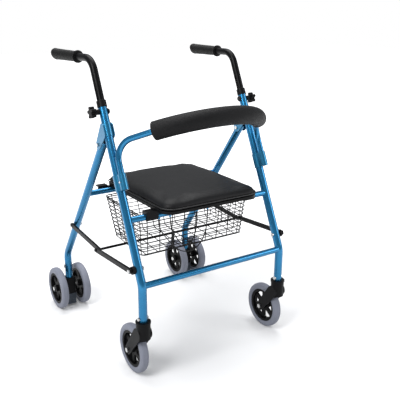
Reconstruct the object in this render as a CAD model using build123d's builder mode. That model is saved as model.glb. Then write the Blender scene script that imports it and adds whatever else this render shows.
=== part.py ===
from build123d import *
import math
import os

os.makedirs("parts", exist_ok=True)

# A folding rollator, in millimetres. +Z is up, the walker rolls towards -Y and the person
# walks behind it at +Y. While it is drawn, y = 0 is the line of the front legs' lower ends.
# "left" and "right" are the user's: left is +X.

# ------------------------------------------------------------ driving dimensions
MIDDLE_Y = 289.46       # every piece is stored this much nearer, to centre the walker on y = 0
LEG_X = 252.0           # from the middle plane to a leg's centre line
TUBE_R = 12.7           # frame tube
TUBE_WALL = 1.2
BAR_R = 9.5             # cross tubes
BAR_WALL = 1.2
LEAN = 24.5             # degrees that the front legs lean back
BEND_Z = 300.0          # where a front leg turns upright
LEG_TOP_Z = 773.0
LEG_END_Z = 172.0
BEND_RADIUS = 60.0

SEAT_BAR_Z = 471.0
PIVOT_Y, PIVOT_Z = 221.5, 664.7        # the rear frame folds about this line
AXLE_Y = 563.0                         # rear wheels
REAR_BEND_Z = 202.0
REAR_BAR_Z = 478.0
REAR_LEG_END_Z = 96.0

BRACE_Z = 345.0                        # both outer ends of the folding brace
MID_Y, MID_Z = 244.7, 330.0            # its middle joint, a little below the straight line
LINK_THICK, LINK_HALF = 7.0, 7.0
ROD_R = 4.0

WHEEL_R = 75.0
TYRE_WIDTH = 26.0
RIM_R = 56.0
TRAIL = 61.0                           # the castor axle's distance behind its swivel line
TWIN_OFFSET = 42.0                     # from a rear leg to each of its two wheels

HANDLE_R = 11.1
HANDLE_Z = 907.0                       # the corner where a handle turns level
GRIP_START, GRIP_END = 91.0, 249.0     # distances behind that corner
GRIP_SPLAY = 3.0                       # degrees that a grip points outwards
BOLT_Z = 762.0                         # height bolt and star knob

SOCKET_LOW_Z, SOCKET_TOP_Z = 548.0, 590.0
SOCKET_OFFSET = 28.0                   # from a leg's centre line to its backrest socket
BAR_RISE = 87.0                        # from the socket's top to the plane of the bow
BOW_FRONT = 192.4                      # how far the bow reaches forward of the sockets
BOW_R = 232.4
BACKREST_R = 9.0
FOAM_R = 27.0
FOAM_HALF_ANGLE = 50.5                 # degrees of the bow that the foam covers, each side

SEAT_HALF_X = 171.0
SEAT_FRONT_Y, SEAT_REAR_Y = 2.0, 405.0
SEAT_CORNER_R = 42.0
BOARD_Z, CUSHION_Z, CUSHION_EDGE_Z, CUSHION_TOP_Z = 489.0, 498.0, 519.0, 531.0

WIRE_R = 1.5
BASKET_TOP_Z = 468.0
SHAFT_GAP = 0.08                       # running clearance on a pin or shaft
SIDES = ((1, "left"), (-1, "right"))

lean = math.radians(LEAN)
UP_LEG = Vector(0, math.sin(lean), math.cos(lean))         # along a front leg
AHEAD = Vector(0, -math.cos(lean), math.sin(lean))         # square to it, forwards
BACK_SLOPE = (AXLE_Y - PIVOT_Y) / (PIVOT_Z - REAR_BEND_Z)  # of a rear leg
back_angle = math.atan(BACK_SLOPE)
UP_REAR = Vector(0, -math.sin(back_angle), math.cos(back_angle))


def leg_y(z):
    """The y of a front leg's centre line at height z."""
    return max(0.0, z - BEND_Z) * math.tan(lean)


def rear_y(z):
    """The y of a rear leg's centre line at height z."""
    return PIVOT_Y + (PIVOT_Z - z) * BACK_SLOPE


def on_leg(side, z):
    return Vector(side * LEG_X, leg_y(z), z)


def on_rear(side, z):
    return Vector(side * LEG_X, rear_y(z), z)


def keep(piece, label):
    """Store a piece, moved so that the walker stands centred on the origin."""
    stored = piece.part.moved(Location((0, -MIDDLE_Y, 0)))
    stored.label = label
    export_step(stored, f"parts/{label}.step")


def cross_pin(x, y, z, radius, length, mode=Mode.ADD):
    """A round bar along X, centred on (x, y, z), in the part being built."""
    with Locations(Location((x, y, z), (0, 90, 0))):
        Cylinder(radius, length, mode=mode)


def straight_rod(start, end, radius, mode=Mode.ADD):
    """A round bar from start to end, in the part being built."""
    with BuildSketch(Plane(origin=start, z_dir=end - start)) as section:
        Circle(radius)
    extrude(section.sketch, amount=(end - start).length, mode=mode)


def ring_section(outer, inner):
    Circle(outer)
    Circle(inner, mode=Mode.SUBTRACT)


def hex_nut(x, y, z, across, thick):
    """A hexagon nut with its axis along X, centred on (x, y, z)."""
    with BuildSketch(Plane((x - thick / 2, y, z), x_dir=(0, 1, 0), z_dir=(1, 0, 0))) as nut:
        RegularPolygon(across / 2, 6, major_radius=False)
    extrude(nut.sketch, amount=thick)


# ------------------------------------------------------------ front frame
BRACE_FRONT_Y = leg_y(BRACE_Z)
BRACE_REAR_Y = rear_y(BRACE_Z)
STEM_BOLT_Z = 200.0
SPRING_STOP_Z = 153.0
BOLT_R = 3.0
HOLE_R = BOLT_R + SHAFT_GAP

for side, name in SIDES:
    with BuildPart() as front_leg:
        with BuildLine():
            FilletPolyline(
                on_leg(side, LEG_END_Z), on_leg(side, BEND_Z), on_leg(side, LEG_TOP_Z),
                radius=BEND_RADIUS,
            )
        with BuildSketch(Plane(on_leg(side, LEG_END_Z), z_dir=(0, 0, 1))):
            ring_section(TUBE_R, TUBE_R - TUBE_WALL)
        sweep()
        cross_pin(side * LEG_X, leg_y(BOLT_Z), BOLT_Z, HOLE_R, 40, Mode.SUBTRACT)
        cross_pin(side * LEG_X, BRACE_FRONT_Y, BRACE_Z, HOLE_R, 40, Mode.SUBTRACT)
        cross_pin(side * LEG_X, 0, STEM_BOLT_Z, HOLE_R, 40, Mode.SUBTRACT)
    keep(front_leg, f"front_leg_{name}")


def cope_to_front_legs():
    """Cut both ends of the cross tube being built to the front legs' round outsides."""
    for side in (1, -1):
        low = on_leg(side, LEG_END_Z)
        with BuildLine() as leg_line:
            FilletPolyline(low, on_leg(side, BEND_Z), on_leg(side, LEG_TOP_Z), radius=BEND_RADIUS)
        with BuildSketch(Plane(low, z_dir=(0, 0, 1))) as section:
            Circle(TUBE_R)
        sweep(section.sketch, path=leg_line.line, mode=Mode.SUBTRACT)


def cross_tube(y, z):
    """A hollow tube from leg centre to leg centre, in the part being built."""
    with BuildSketch(Plane((-LEG_X, y, z), x_dir=(0, 1, 0), z_dir=(1, 0, 0))) as section:
        ring_section(BAR_R, BAR_R - BAR_WALL)
    extrude(section.sketch, amount=2 * LEG_X)


with BuildPart() as lower_crossbar:
    cross_tube(0, BEND_Z)
    cope_to_front_legs()
keep(lower_crossbar, "lower_crossbar")

# The seat's front tube carries two small welded eyes, which the lift cords hang from.
SEAT_BAR_Y = leg_y(SEAT_BAR_Z)
CORD_EYE_X = (-152.0, 22.0, -112.0, -16.0)
EYE_DROP = 8.0
with BuildPart() as seat_crossbar:
    cross_tube(SEAT_BAR_Y, SEAT_BAR_Z)
    cope_to_front_legs()
    for eye_x in CORD_EYE_X:
        with Locations((eye_x, SEAT_BAR_Y, SEAT_BAR_Z - BAR_R - 1.5)):
            Box(7, 3, 6)
keep(seat_crossbar, "seat_crossbar")

# Each fold bracket is a sleeve on the leg with two ears, and the rear leg turns between them.
EAR_GAP, EAR_THICK, EAR_R = 13.0, 3.0, 14.0
SLEEVE_R = 14.7
SLEEVE_LOW_Z, SLEEVE_TOP_Z = 694.0, 730.0
with BuildPart() as pivot_brackets:
    for side, name in SIDES:
        for ear in (-1, 1):
            ear_x = side * LEG_X + ear * (EAR_GAP + EAR_THICK / 2)
            with BuildSketch(Plane.YZ.offset(ear_x - EAR_THICK / 2)) as ear_face:
                with Locations((PIVOT_Y, PIVOT_Z)):
                    Circle(EAR_R)
                for end_z in (SLEEVE_LOW_Z + 7, SLEEVE_TOP_Z - 9):
                    with Locations((leg_y(end_z), end_z)):
                        Circle(11)
                make_hull()
            extrude(amount=EAR_THICK)
        straight_rod(on_leg(side, SLEEVE_LOW_Z), on_leg(side, SLEEVE_TOP_Z), SLEEVE_R)
        straight_rod(on_leg(side, 640), on_leg(side, LEG_TOP_Z), TUBE_R, Mode.SUBTRACT)
        cross_pin(side * LEG_X, PIVOT_Y, PIVOT_Z, HOLE_R, 60, Mode.SUBTRACT)
        with BuildSketch(Plane.YZ.offset(side * LEG_X - EAR_GAP)):
            with Locations((PIVOT_Y, PIVOT_Z)):
                Circle(24)
        extrude(amount=2 * EAR_GAP, mode=Mode.SUBTRACT)
keep(pivot_brackets, "pivot_brackets")

COLLAR_R, COLLAR_LENGTH = 14.3, 20.0
with BuildPart() as handle_collars:
    for side, name in SIDES:
        top = on_leg(side, LEG_TOP_Z)
        with BuildSketch(Plane(top, x_dir=(1, 0, 0), z_dir=UP_LEG)):
            ring_section(COLLAR_R, HANDLE_R + 0.3)
        extrude(amount=COLLAR_LENGTH)
    chamfer(handle_collars.edges().filter_by(GeomType.CIRCLE).group_by(Axis.Z)[-1], 0.8)
keep(handle_collars, "handle_collars")

SOCKET_R, SOCKET_BORE_R = 11.6, BACKREST_R + 0.1
CLAMP_R = 14.7
BUTTON_R = 3.0
BUTTON_Z = (SOCKET_LOW_Z + SOCKET_TOP_Z) / 2


def in_socket(side, z):
    """The point of a backrest socket's centre line that lies ahead of the leg at height z."""
    return on_leg(side, z) + AHEAD * SOCKET_OFFSET


with BuildPart() as backrest_sockets:
    for side, name in SIDES:
        straight_rod(in_socket(side, SOCKET_LOW_Z), in_socket(side, SOCKET_TOP_Z), SOCKET_R)
        straight_rod(on_leg(side, SOCKET_LOW_Z), on_leg(side, SOCKET_TOP_Z), CLAMP_R)
        web_base = on_leg(side, SOCKET_LOW_Z) + AHEAD * (SOCKET_OFFSET / 2)
        with BuildSketch(Plane(web_base, x_dir=(1, 0, 0), z_dir=UP_LEG)):
            Rectangle(16, SOCKET_OFFSET)
        extrude(amount=(SOCKET_TOP_Z - SOCKET_LOW_Z) / math.cos(lean))
        straight_rod(on_leg(side, 520), on_leg(side, 620), TUBE_R, Mode.SUBTRACT)
        straight_rod(in_socket(side, 520), in_socket(side, 620), SOCKET_BORE_R, Mode.SUBTRACT)
        button_at = in_socket(side, BUTTON_Z) + Vector(side * SOCKET_R, 0, 0)
        cross_pin(button_at.X, button_at.Y, button_at.Z, BUTTON_R + 0.15, 14, Mode.SUBTRACT)
keep(backrest_sockets, "backrest_sockets")

# ------------------------------------------------------------ backrest
bow_origin = in_socket(0, SOCKET_TOP_Z) + UP_LEG * BAR_RISE
bow_plane = Plane(bow_origin, x_dir=(1, 0, 0), z_dir=AHEAD.cross(Vector(1, 0, 0)) * -1)


def on_bow(x, ahead):
    return bow_origin + Vector(x, 0, 0) + AHEAD * ahead


bow_centre = BOW_FRONT - BOW_R                      # ahead of the sockets, so it is negative
corner_far = math.hypot(LEG_X, bow_centre)
join_angle = math.atan2(-bow_centre, LEG_X) + math.acos(BOW_R / corner_far)


def on_arc(angle):
    """The point of the bow at this angle, measured from +X about the bow's centre."""
    return on_bow(BOW_R * math.cos(angle), bow_centre + BOW_R * math.sin(angle))


BACKREST_BEND = 55.0
with BuildPart() as backrest_tube:
    with BuildLine():
        FilletPolyline(
            in_socket(1, SOCKET_LOW_Z) + UP_LEG * 1.0, on_bow(LEG_X, 0), on_arc(join_angle),
            radius=BACKREST_BEND,
        )
        ThreePointArc(on_arc(join_angle), on_bow(0, BOW_FRONT), on_arc(math.pi - join_angle))
        FilletPolyline(
            on_arc(math.pi - join_angle), on_bow(-LEG_X, 0),
            in_socket(-1, SOCKET_LOW_Z) + UP_LEG * 1.0,
            radius=BACKREST_BEND,
        )
    with BuildSketch(Plane(in_socket(1, SOCKET_LOW_Z) + UP_LEG * 1.0, z_dir=UP_LEG)):
        ring_section(BACKREST_R, BACKREST_R - TUBE_WALL)
    sweep()
    for side, name in SIDES:
        button_at = in_socket(side, BUTTON_Z) + Vector(side * BACKREST_R, 0, 0)
        cross_pin(button_at.X, button_at.Y, button_at.Z, BUTTON_R + 0.15, 10, Mode.SUBTRACT)
keep(backrest_tube, "backrest_tube")

foam_start = math.radians(90 - FOAM_HALF_ANGLE)
foam_tangent = Vector(-math.sin(foam_start), 0, 0) + AHEAD * math.cos(foam_start)
with BuildPart() as backrest_foam:
    with BuildLine():
        ThreePointArc(on_arc(foam_start), on_bow(0, BOW_FRONT), on_arc(math.pi - foam_start))
    with BuildSketch(Plane(on_arc(foam_start), z_dir=foam_tangent)):
        ring_section(FOAM_R, BACKREST_R + 0.2)
    sweep()
keep(backrest_foam, "backrest_foam")

for side, name in SIDES:
    with BuildPart() as snap_button:
        button_at = in_socket(side, BUTTON_Z)
        cross_pin(button_at.X + side * 9.2, button_at.Y, button_at.Z, BUTTON_R, 8.4)
        cross_pin(button_at.X + side * 3.7, button_at.Y, button_at.Z, 4.2, 2.6)
        fillet(snap_button.edges().sort_by(Axis.X)[-1 if side > 0 else 0], 1.2)
    keep(snap_button, f"snap_button_{name}")

# ------------------------------------------------------------ handles
HANDLE_INSERT = 130.0                  # length inside the leg at rest
HANDLE_UP, HANDLE_DOWN = 50.0, 75.0    # travel from rest
SLOT_HALF = BOLT_R + 0.3
bolt_depth = (LEG_TOP_Z - BOLT_Z) / math.cos(lean)
splay = math.radians(GRIP_SPLAY)

for side, name in SIDES:
    leg_top = on_leg(side, LEG_TOP_Z)
    corner = on_leg(side, HANDLE_Z)
    grip_dir = Vector(side * math.sin(splay), math.cos(splay), 0)
    low_end = leg_top - UP_LEG * HANDLE_INSERT
    with BuildPart() as handle_tube:
        with BuildLine():
            FilletPolyline(low_end, corner, corner + grip_dir * (GRIP_END - 6), radius=BACKREST_BEND)
        with BuildSketch(Plane(low_end, x_dir=(1, 0, 0), z_dir=UP_LEG)):
            ring_section(HANDLE_R, HANDLE_R - TUBE_WALL)
        sweep()
        # a slot through both walls lets the height bolt stay in while the handle slides
        slot_low = leg_top - UP_LEG * (bolt_depth + HANDLE_UP)
        slot_high = leg_top - UP_LEG * (bolt_depth - HANDLE_DOWN)
        slot_mid = (slot_low + slot_high) * 0.5
        slot_plane = Plane(slot_mid - Vector(20, 0, 0), x_dir=UP_LEG, z_dir=(1, 0, 0))
        with BuildSketch(slot_plane):
            SlotCenterToCenter(HANDLE_UP + HANDLE_DOWN, 2 * SLOT_HALF)
        extrude(amount=40, mode=Mode.SUBTRACT)
    keep(handle_tube, f"handle_tube_{name}")

    with BuildPart() as grip:
        with BuildSketch(Plane(corner + grip_dir * GRIP_START, z_dir=grip_dir)):
            ring_section(16.0, HANDLE_R + 0.02)
        extrude(amount=GRIP_END - 5.5 - GRIP_START)
        with BuildSketch(Plane(corner + grip_dir * (GRIP_END - 5.5), z_dir=grip_dir)):
            Circle(16.0)
        extrude(amount=5.5)
        with BuildSketch(Plane(corner + grip_dir * (GRIP_START - 5), z_dir=grip_dir)):
            ring_section(19.0, HANDLE_R + 0.02)
        extrude(amount=5)
        fillet(grip.edges().sort_by(Axis.Y)[-1], 3.0)
    keep(grip, f"grip_{name}")

# One height bolt on each side: a round head inside, and a star knob on its thread outside.
LEG_OUT = LEG_X + TUBE_R
KNOB_IN, KNOB_NECK, KNOB_OUT = LEG_OUT + 1.3, LEG_OUT + 15.3, LEG_OUT + 29.3
with BuildPart() as height_bolts:
    for side, name in SIDES:
        bolt_y = leg_y(BOLT_Z)
        shank_in, shank_out = LEG_X - TUBE_R - 2, KNOB_OUT - 3
        cross_pin(side * (shank_in + shank_out) / 2, bolt_y, BOLT_Z, BOLT_R, shank_out - shank_in)
        cross_pin(side * (shank_in + 1), bolt_y, BOLT_Z, 9.0, 2.0)
        cross_pin(side * (shank_in - 2), bolt_y, BOLT_Z, 7.5, 4.0)
    head_edges = height_bolts.edges().filter_by(GeomType.CIRCLE).filter_by(
        lambda edge: abs(abs(edge.center().X) - shank_in + 4) < 0.01)
    fillet(head_edges, 2.5)
keep(height_bolts, "height_bolts")

STAR_R, LOBE_R = 12.5, 5.0
for side, name in SIDES:
    bolt_y = leg_y(BOLT_Z)
    with BuildPart() as star_knob:
        face = Plane((side * KNOB_NECK, bolt_y, BOLT_Z), x_dir=(0, 1, 0), z_dir=(side, 0, 0))
        with BuildSketch(face):
            Circle(STAR_R - 2)
            with PolarLocations(STAR_R, 5):
                Circle(LOBE_R)
        extrude(amount=KNOB_OUT - KNOB_NECK)
        cross_pin(side * (KNOB_IN + KNOB_NECK) / 2, bolt_y, BOLT_Z, 8.0, KNOB_NECK - KNOB_IN)
        bore_end = KNOB_OUT - 2.5
        cross_pin(side * (KNOB_IN + bore_end) / 2, bolt_y, BOLT_Z, HOLE_R, bore_end - KNOB_IN,
                  Mode.SUBTRACT)
    keep(star_knob, f"star_knob_{name}")

# ------------------------------------------------------------ castors
HOUSING_R, HOUSING_LOW_Z, HOUSING_TOP_Z = 21.0, 137.0, 192.0
STEM_R, STEM_LOW_Z = 6.0, 137.5
FORK_GAP = 15.0                        # from the wheel's middle to a fork arm

with BuildPart() as castor_stems:
    for side, name in SIDES:
        foot = Vector(side * LEG_X, 0, 0)
        straight_rod(foot + Vector(0, 0, LEG_END_Z - 1), foot + Vector(0, 0, 214), TUBE_R - TUBE_WALL)
        straight_rod(foot + Vector(0, 0, STEM_LOW_Z), foot + Vector(0, 0, LEG_END_Z), STEM_R)
        straight_rod(foot + Vector(0, 0, STEM_LOW_Z), foot + Vector(0, 0, STEM_LOW_Z + 4), 8.0)
        cross_pin(side * LEG_X, 0, STEM_BOLT_Z, BOLT_R, 40, Mode.SUBTRACT)
keep(castor_stems, "castor_stems")

for side, name in SIDES:
    x = side * LEG_X
    with BuildPart() as castor_fork:
        with BuildSketch(Plane.YZ.offset(x - HOUSING_R)):
            with Locations((TRAIL, WHEEL_R)):
                Circle(15)
            with Locations((4, 152)):
                Circle(19)
            make_hull()
        extrude(amount=2 * HOUSING_R)
        straight_rod(Vector(x, 0, HOUSING_LOW_Z), Vector(x, 0, HOUSING_TOP_Z), HOUSING_R)
        straight_rod(Vector(x, 0, HOUSING_TOP_Z - 6), Vector(x, 0, HOUSING_TOP_Z), HOUSING_R + 1.5)
        straight_rod(Vector(x, 0, LEG_END_Z - 1.5), Vector(x, 0, HOUSING_TOP_Z), TUBE_R + 0.4,
                     Mode.SUBTRACT)
        straight_rod(Vector(x, 0, 130), Vector(x, 0, HOUSING_TOP_Z), STEM_R + SHAFT_GAP, Mode.SUBTRACT)
        straight_rod(Vector(x, 0, 130), Vector(x, 0, STEM_LOW_Z + 4.5), 8.5, Mode.SUBTRACT)
        cross_pin(x, TRAIL, WHEEL_R, WHEEL_R + 3.5, 2 * FORK_GAP, Mode.SUBTRACT)
        cross_pin(x, TRAIL, WHEEL_R, 4.0, 60, Mode.SUBTRACT)
    keep(castor_fork, f"castor_fork_{name}")

    with BuildPart() as castor_axle:
        cross_pin(x, TRAIL, WHEEL_R, 4.0, 2 * HOUSING_R + 6)
        cross_pin(x - side * (HOUSING_R + 2), TRAIL, WHEEL_R, 7.0, 4.0)
        hex_nut(x + side * (HOUSING_R + 2.5), TRAIL, WHEEL_R, 13, 5)
    keep(castor_axle, f"castor_axle_{name}")


def wheel_face(x, y, z):
    """The half plane that a wheel's sections are drawn in: x along the axle, y outwards."""
    return Plane((x, y, z), x_dir=(1, 0, 0), z_dir=(0, -1, 0))


HUB_R, HUB_WIDTH, RIM_WIDTH, WEB_THICK = 12.0, 25.0, 20.0, 7.0
WINDOW_AT, WINDOW_WIDE, WINDOW_DEEP, WINDOW_ANGLE = 33.0, 34.0, 24.0, 62.0


def make_wheel(x, y, z, label, turned):
    """A spoked plastic hub and its grey tyre, on the axle at (x, y, z)."""
    axle = Axis((x, y, z), (1, 0, 0))
    with BuildPart() as hub:
        with BuildSketch(wheel_face(x, y, z)):
            with Locations((0, HUB_R / 2)):
                Rectangle(HUB_WIDTH, HUB_R)
            with Locations((0, RIM_R / 2)):
                Rectangle(WEB_THICK, RIM_R)
            with Locations((0, RIM_R - 4)):
                Rectangle(RIM_WIDTH, 8)
        revolve(axis=axle)
        with BuildSketch(Plane((x - 20, y, z), x_dir=(0, 1, 0), z_dir=(1, 0, 0))):
            with PolarLocations(WINDOW_AT, 6, start_angle=turned):
                Trapezoid(WINDOW_WIDE, WINDOW_DEEP, WINDOW_ANGLE, rotation=90)
            Circle(HUB_R + 5, mode=Mode.SUBTRACT)
        extrude(amount=40, mode=Mode.SUBTRACT)
        cross_pin(x, y, z, 4.0 + SHAFT_GAP, 60, Mode.SUBTRACT)
    keep(hub, f"{label}_hub")

    with BuildPart() as tyre:
        with BuildSketch(wheel_face(x, y, z)):
            with Locations((0, (RIM_R + WHEEL_R) / 2)):
                RectangleRounded(TYRE_WIDTH, WHEEL_R - RIM_R, 6)
            with Locations((0, RIM_R + 3)):
                Rectangle(RIM_WIDTH, 6)
        revolve(axis=axle)
    keep(tyre, f"{label}_tyre")


for side, name in SIDES:
    make_wheel(side * LEG_X, TRAIL, WHEEL_R, f"front_{name}", 0)

# ------------------------------------------------------------ rear frame
REAR_TOP = 14.0                        # how far a rear leg reaches past its pivot
for side, name in SIDES:
    top_end = on_rear(side, PIVOT_Z) + UP_REAR * REAR_TOP
    bend = Vector(side * LEG_X, AXLE_Y, REAR_BEND_Z)
    foot = Vector(side * LEG_X, AXLE_Y, REAR_LEG_END_Z)
    with BuildPart() as rear_leg:
        with BuildLine():
            FilletPolyline(foot, bend, top_end, radius=BEND_RADIUS)
        with BuildSketch(Plane(foot, z_dir=(0, 0, 1))):
            ring_section(TUBE_R, TUBE_R - TUBE_WALL)
        sweep()
        for hole_y, hole_z in ((PIVOT_Y, PIVOT_Z), (BRACE_REAR_Y, BRACE_Z), (AXLE_Y, SPRING_STOP_Z)):
            cross_pin(side * LEG_X, hole_y, hole_z, BOLT_R, 40, Mode.SUBTRACT)
    keep(rear_leg, f"rear_leg_{name}")

REAR_BAR_Y = rear_y(REAR_BAR_Z)
with BuildPart() as rear_crossbar:
    cross_tube(REAR_BAR_Y, REAR_BAR_Z)
    for side, name in SIDES:
        straight_rod(on_rear(side, 420), on_rear(side, 540), TUBE_R, Mode.SUBTRACT)
keep(rear_crossbar, "rear_crossbar")

# ------------------------------------------------------------ folding brace
SPACER_OUT = LEG_OUT + 9.1             # the front link's inner face
REAR_LINK_IN = LEG_OUT + 1.5
LINK_GAP = 0.8                         # between the rear and front link where they meet
MID = (MID_Y, MID_Z)
FRONT_END = (BRACE_FRONT_Y, BRACE_Z)
REAR_END = (BRACE_REAR_Y, BRACE_Z)


def brace_link(side, inner, thick, first, second, bored):
    """A flat link with round ends, from first to second in the YZ plane."""
    with BuildSketch(Plane.YZ.offset(min(side * inner, side * (inner + thick)))) as outline:
        for end in (first, second):
            with Locations(end):
                Circle(LINK_HALF)
        make_hull()
        for end in bored:
            with Locations(end):
                Circle(HOLE_R, mode=Mode.SUBTRACT)
    extrude(outline.sketch, amount=thick)


front_link_in = REAR_LINK_IN + LINK_THICK + LINK_GAP
with BuildPart() as brace_front_links:
    for side, name in SIDES:
        brace_link(side, front_link_in, LINK_THICK, FRONT_END, MID, (FRONT_END,))
        cap_x = side * (front_link_in + LINK_THICK + 1.5)
        cross_pin(cap_x, MID_Y, MID_Z, 4.5, 3.0)
keep(brace_front_links, "brace_front_links")

with BuildPart() as brace_rear_links:
    for side, name in SIDES:
        brace_link(side, REAR_LINK_IN, LINK_THICK, MID, REAR_END, (REAR_END,))
keep(brace_rear_links, "brace_rear_links")

# the cross rod is welded between the rear links, with a hanger tab in the middle
TAB_LENGTH = 50.0
with BuildPart() as brace_rod:
    cross_pin(0, MID_Y, MID_Z, ROD_R, 2 * REAR_LINK_IN)
    with BuildSketch(Plane.YZ.offset(-2)):
        with Locations((MID_Y, MID_Z - TAB_LENGTH / 2)):
            SlotOverall(TAB_LENGTH + 8, 9, rotation=90)
        with Locations((MID_Y, MID_Z - TAB_LENGTH + 6)):
            Circle(2.6, mode=Mode.SUBTRACT)
    extrude(amount=4)
keep(brace_rod, "brace_rod")

with BuildPart() as brace_spacers:
    for side, name in SIDES:
        spacer_thick = front_link_in - 0.2 - LEG_OUT
        cross_pin(side * (LEG_OUT + spacer_thick / 2), BRACE_FRONT_Y, BRACE_Z, 11.5, spacer_thick)
        straight_rod(on_leg(side, BRACE_Z - 40), on_leg(side, BRACE_Z + 40), TUBE_R, Mode.SUBTRACT)
        cross_pin(side * LEG_X, BRACE_FRONT_Y, BRACE_Z, HOLE_R, 60, Mode.SUBTRACT)
keep(brace_spacers, "brace_spacers")


def through_bolt(side, y, z, inner, outer, shank_r=BOLT_R):
    """A bolt along X through a leg: a round head at inner, a nut at outer."""
    cross_pin(side * (inner + outer) / 2, y, z, shank_r, outer - inner)
    cross_pin(side * (inner + 1.5), y, z, 2 * shank_r, 3.0)
    hex_nut(side * (outer - 2), y, z, 10, 4)


LEG_IN = LEG_X - TUBE_R
with BuildPart() as front_frame_bolts:
    for side, name in SIDES:
        link_out = front_link_in + LINK_THICK
        through_bolt(side, BRACE_FRONT_Y, BRACE_Z, LEG_IN - 3, link_out + 4.3)
        through_bolt(side, 0, STEM_BOLT_Z, LEG_IN - 3, LEG_OUT + 4)
keep(front_frame_bolts, "front_frame_bolts")

with BuildPart() as rear_frame_bolts:
    for side, name in SIDES:
        ear_out = EAR_GAP + EAR_THICK
        through_bolt(side, PIVOT_Y, PIVOT_Z, LEG_X - ear_out - 3.3, LEG_X + ear_out + 4.3)
        through_bolt(side, BRACE_REAR_Y, BRACE_Z, LEG_IN - 3, REAR_LINK_IN + LINK_THICK + 4.3)
        through_bolt(side, AXLE_Y, SPRING_STOP_Z, LEG_IN - 3, LEG_OUT + 4)
keep(rear_frame_bolts, "rear_frame_bolts")

# ------------------------------------------------------------ rear wheels and brakes
BRAKE_TRAVEL = 8.0
BLOCK_HALF_X, BLOCK_HALF_Y = 19.0, 18.0
BLOCK_LOW_Z, BLOCK_TOP_Z = 48.0, 108.0
AXLE_R = 4.0
with BuildPart() as axle_housings:
    for side, name in SIDES:
        x = side * LEG_X
        with BuildSketch(Plane.XY.offset(BLOCK_LOW_Z)):
            with Locations((x, AXLE_Y)):
                RectangleRounded(2 * BLOCK_HALF_X, 2 * BLOCK_HALF_Y, 8)
        extrude(amount=BLOCK_TOP_Z - BLOCK_LOW_Z)
        leg_foot = Vector(x, AXLE_Y, REAR_LEG_END_Z)
        straight_rod(leg_foot, leg_foot + Vector(0, 0, 40), TUBE_R, Mode.SUBTRACT)
        straight_rod(Vector(x, AXLE_Y, WHEEL_R), leg_foot, 9.6, Mode.SUBTRACT)
        with BuildSketch(Plane.YZ.offset(x - BLOCK_HALF_X)):
            with Locations((AXLE_Y, WHEEL_R + BRAKE_TRAVEL / 2)):
                SlotCenterToCenter(BRAKE_TRAVEL + 0.3, 2 * (AXLE_R + 0.15), rotation=90)
        extrude(amount=2 * BLOCK_HALF_X, mode=Mode.SUBTRACT)
keep(axle_housings, "axle_housings")

FOOT_HALF_X, FOOT_HALF_Y = 17.0, 20.0
with BuildPart() as brake_feet:
    for side, name in SIDES:
        x = side * LEG_X
        with BuildSketch(Plane.XY.offset(BRAKE_TRAVEL)):
            with Locations((x, AXLE_Y)):
                RectangleRounded(2 * FOOT_HALF_X, 2 * FOOT_HALF_Y, 5)
        extrude(amount=BLOCK_LOW_Z - BRAKE_TRAVEL)
        for groove in range(5):
            with BuildSketch(Plane.XY.offset(BRAKE_TRAVEL + 6 + 7 * groove)):
                with Locations((x, AXLE_Y)):
                    Rectangle(2 * FOOT_HALF_X + 4, 2 * FOOT_HALF_Y + 4)
                    RectangleRounded(2 * FOOT_HALF_X - 3, 2 * FOOT_HALF_Y - 3, 4, mode=Mode.SUBTRACT)
            extrude(amount=2.5, mode=Mode.SUBTRACT)
keep(brake_feet, "brake_feet")

SPRING_R, SPRING_WIRE_R, SPRING_PITCH = 7.6, 1.1, 7.0
SPRING_LOW_Z, SPRING_TOP_Z = WHEEL_R + AXLE_R + 1.4, SPRING_STOP_Z - BOLT_R - 1.4
with BuildPart() as brake_springs:
    for side, name in SIDES:
        with BuildLine() as coil:
            Helix(SPRING_PITCH, SPRING_TOP_Z - SPRING_LOW_Z, SPRING_R,
                  center=(side * LEG_X, AXLE_Y, SPRING_LOW_Z))
        with BuildSketch(Plane(coil.line @ 0, z_dir=coil.line % 0)):
            Circle(SPRING_WIRE_R)
        sweep(path=coil.line)
keep(brake_springs, "brake_springs")

WHEEL_IN = TWIN_OFFSET - HUB_WIDTH / 2
WHEEL_OUT = TWIN_OFFSET + HUB_WIDTH / 2
for side, name in SIDES:
    x = side * LEG_X
    with BuildPart() as rear_axle:
        cross_pin(x, AXLE_Y, WHEEL_R, AXLE_R, 2 * WHEEL_OUT + 12)
        for end in (-1, 1):
            cross_pin(x + end * (BLOCK_HALF_X + 0.2 + WHEEL_IN) / 2, AXLE_Y, WHEEL_R, 7.0,
                      WHEEL_IN - BLOCK_HALF_X - 0.6)
            hex_nut(x + end * (WHEEL_OUT + 3.3), AXLE_Y, WHEEL_R, 13, 6)
    keep(rear_axle, f"rear_axle_{name}")
    make_wheel(x + side * TWIN_OFFSET, AXLE_Y, WHEEL_R, f"rear_{name}_outer", 10)
    make_wheel(x - side * TWIN_OFFSET, AXLE_Y, WHEEL_R, f"rear_{name}_inner", 40)

# ------------------------------------------------------------ seat
seat_mid_y = (SEAT_FRONT_Y + SEAT_REAR_Y) / 2
seat_depth = SEAT_REAR_Y - SEAT_FRONT_Y
HOOK_XS = (110.0, -110.0)              # basket hooks over both seat tubes
with BuildPart() as seat_board:
    with BuildSketch(Plane.XY.offset(BOARD_Z)):
        with Locations((0, seat_mid_y)):
            RectangleRounded(2 * SEAT_HALF_X - 6, seat_depth - 6, SEAT_CORNER_R - 3)
    extrude(amount=CUSHION_Z - BOARD_Z)
    # pockets over the basket's rear hooks
    for hook_x in HOOK_XS:
        with Locations((hook_x, REAR_BAR_Y, BOARD_Z)):
            Box(9, 44, 8, mode=Mode.SUBTRACT)
keep(seat_board, "seat_board")

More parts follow.
